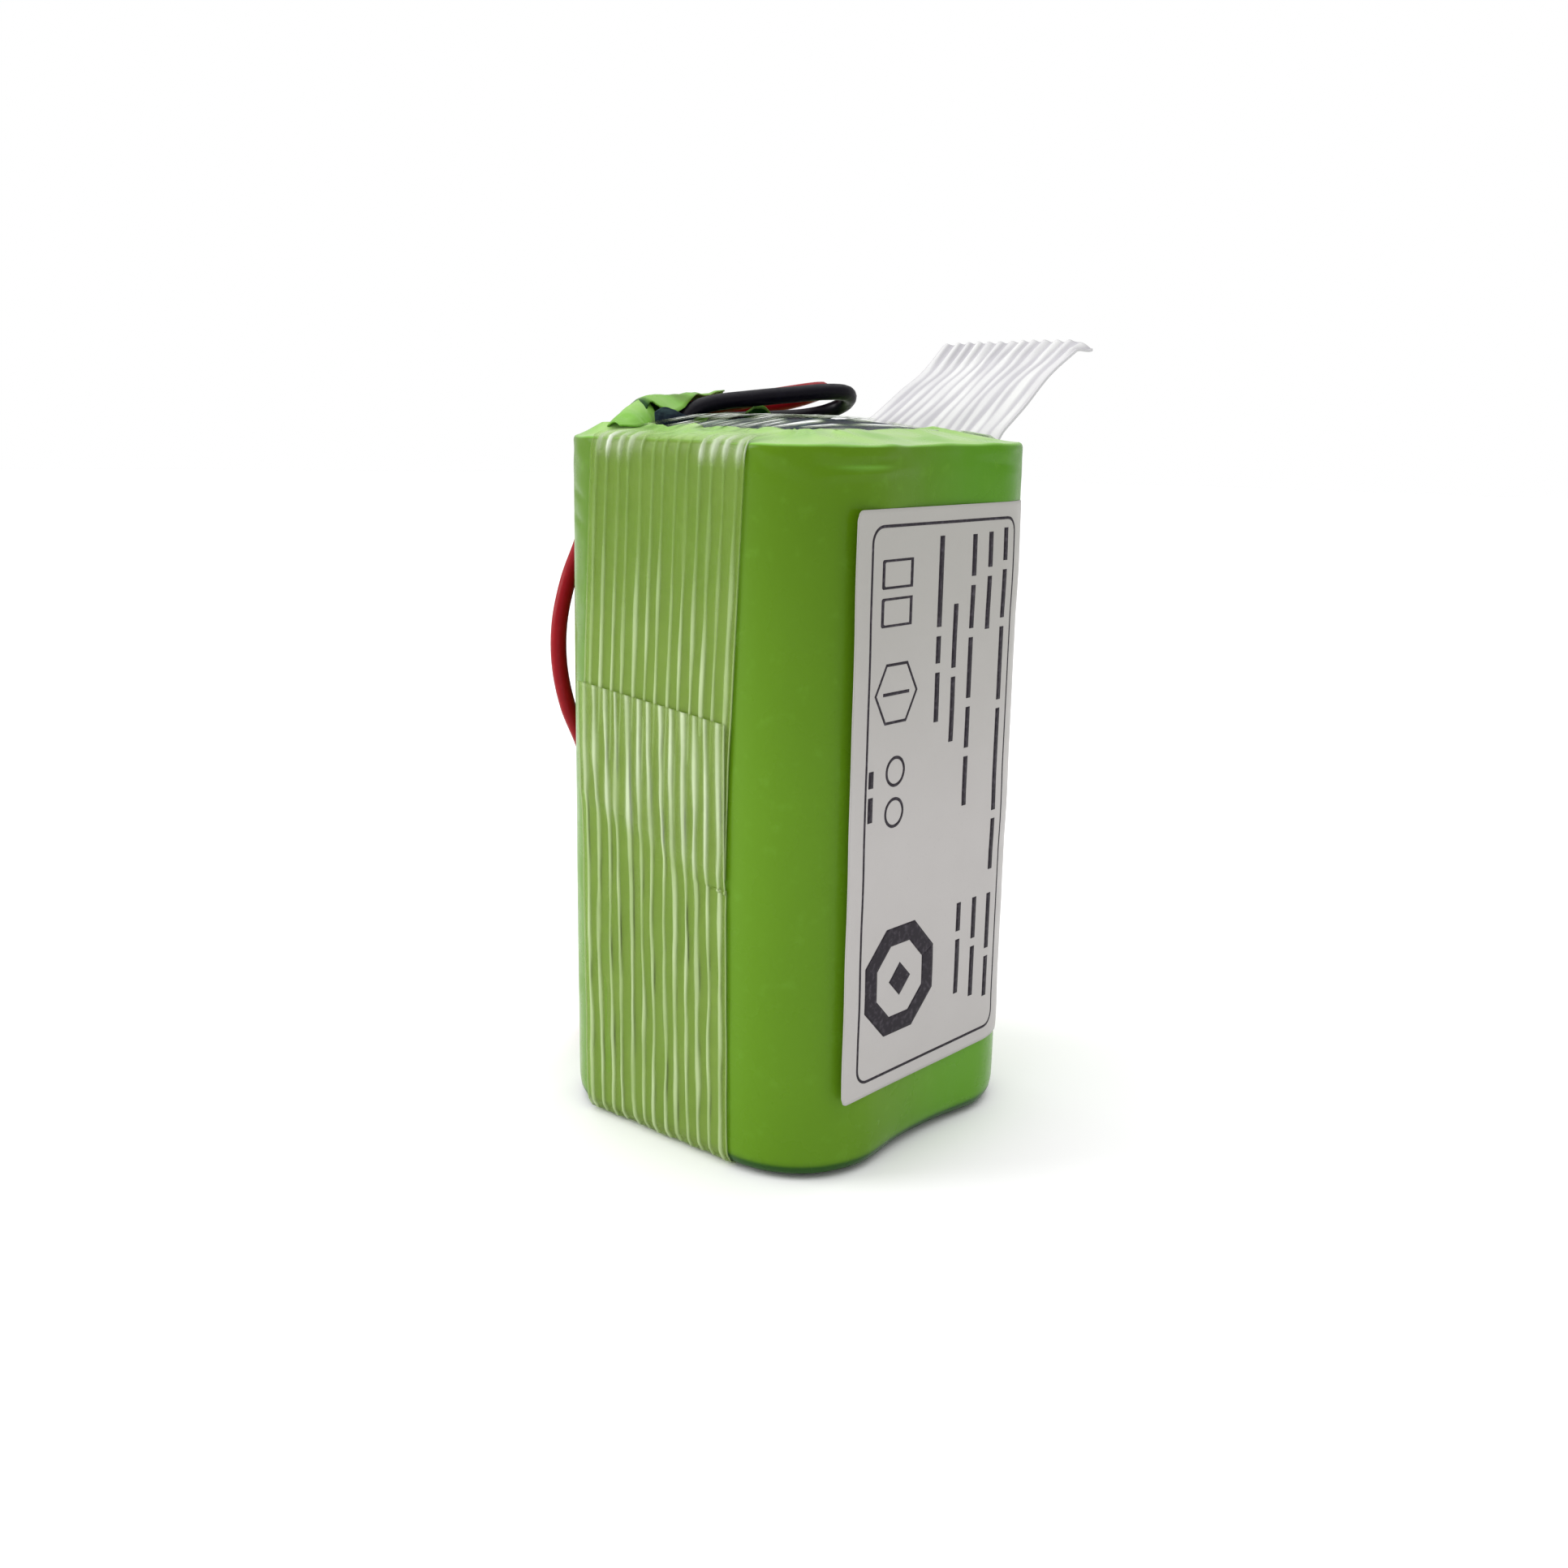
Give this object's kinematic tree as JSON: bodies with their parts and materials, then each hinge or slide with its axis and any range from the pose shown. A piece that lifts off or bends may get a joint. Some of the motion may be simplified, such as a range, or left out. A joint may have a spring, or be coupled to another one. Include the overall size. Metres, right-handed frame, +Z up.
{
  "type": "lithium-ion battery pack",
  "caption": "Upright battery pack of cylindrical cells in green shrink film, with a label, a strip of filament tape with a pull tab, and red and black leads to a small connector.",
  "frame": {"origin": "middle of the underside, on the tape that meets the ground", "axes": "+Z up along the cells; -X the face where the tape's ends overlap; -Y the label face; the pull tab is at the top edge of the +X face, and the leads run down the +Y face"},
  "size_m": [0.0561, 0.0528, 0.0814],
  "materials": {
    "green_film": "glossy green shrink film, slightly wrinkled",
    "clear_tape": "clear film with whitish filament strands",
    "tab_tape": "doubled filament tape, milky and ribbed",
    "label_film": "satin pale grey label",
    "dark_cover": "dark insulating paper",
    "insulating_paper": "grey insulating paper",
    "cell_can": "nickel-plated steel",
    "cell_cap": "nickel-plated steel",
    "electrode_foil": "dark coated metal foil, tightly wound",
    "cell_wrap": "shrunk cell wrap",
    "ring_paper": "white paper ring",
    "nickel_strip": "plain nickel strip",
    "circuit_board": "green solder mask",
    "chip_black": "moulded black package",
    "shunt_metal": "resistor metal",
    "solder": "bright solder",
    "lead_black": "smooth black insulation",
    "lead_red": "smooth red insulation",
    "white_nylon": "natural white nylon",
    "tinned_contact": "tinned brass"
  },
  "bodies": {
    "pack": {"cell_1_can": "cell_can", "cell_1_electrode_roll": "electrode_foil", "cell_1_cap": "cell_cap", "cell_1_wrap": "cell_wrap", "cell_1_ring": "ring_paper", "cell_2_can": "cell_can", "cell_2_electrode_roll": "electrode_foil", "cell_2_cap": "cell_cap", "cell_2_wrap": "cell_wrap", "cell_2_ring": "ring_paper", "cell_3_can": "cell_can", "cell_3_electrode_roll": "electrode_foil", "cell_3_cap": "cell_cap", "cell_3_wrap": "cell_wrap", "cell_3_ring": "ring_paper", "cell_4_can": "cell_can", "cell_4_electrode_roll": "electrode_foil", "cell_4_cap": "cell_cap", "cell_4_wrap": "cell_wrap", "cell_4_ring": "ring_paper", "nickel_bottom_low": "nickel_strip", "nickel_bottom_high": "nickel_strip", "nickel_top_minus": "nickel_strip", "nickel_top_plus": "nickel_strip", "nickel_top_link": "nickel_strip", "sense_wire_low": "lead_black", "sense_wire_high": "lead_red", "bottom_insulator": "insulating_paper", "top_insulator": "insulating_paper", "protection_board": "circuit_board", "switch_1": "chip_black", "switch_2": "chip_black", "controller": "chip_black", "shunt": "shunt_metal", "solder_black": "solder", "solder_red": "solder", "board_cover": "dark_cover", "shrink_film": "green_film", "film_flap": "green_film", "label": "label_film", "tape_strip": "clear_tape", "lead_black": "lead_black", "lead_red": "lead_red", "connector_housing": "white_nylon", "contact_black": "tinned_contact", "contact_red": "tinned_contact"},
    "pull_tab": {"pull_tab": "tab_tape"},
    "latch": {"latch_lever": "white_nylon"}
  },
  "joints": [
    {"name": "pull_tab_hinge", "type": "hinge", "parent": "pack", "child": "pull_tab", "pos_m": [0.0194, 0, 0.07], "axis": [0, 1, 0], "range_deg": [-60, 110]},
    {"name": "latch_hinge", "type": "hinge", "parent": "pack", "child": "latch", "pos_m": [0.0119, 0.0291, 0.0071], "axis": [0, -1, 0], "range_deg": [0, 10], "stiffness_Nm_per_rad": 0.01}
  ]
}
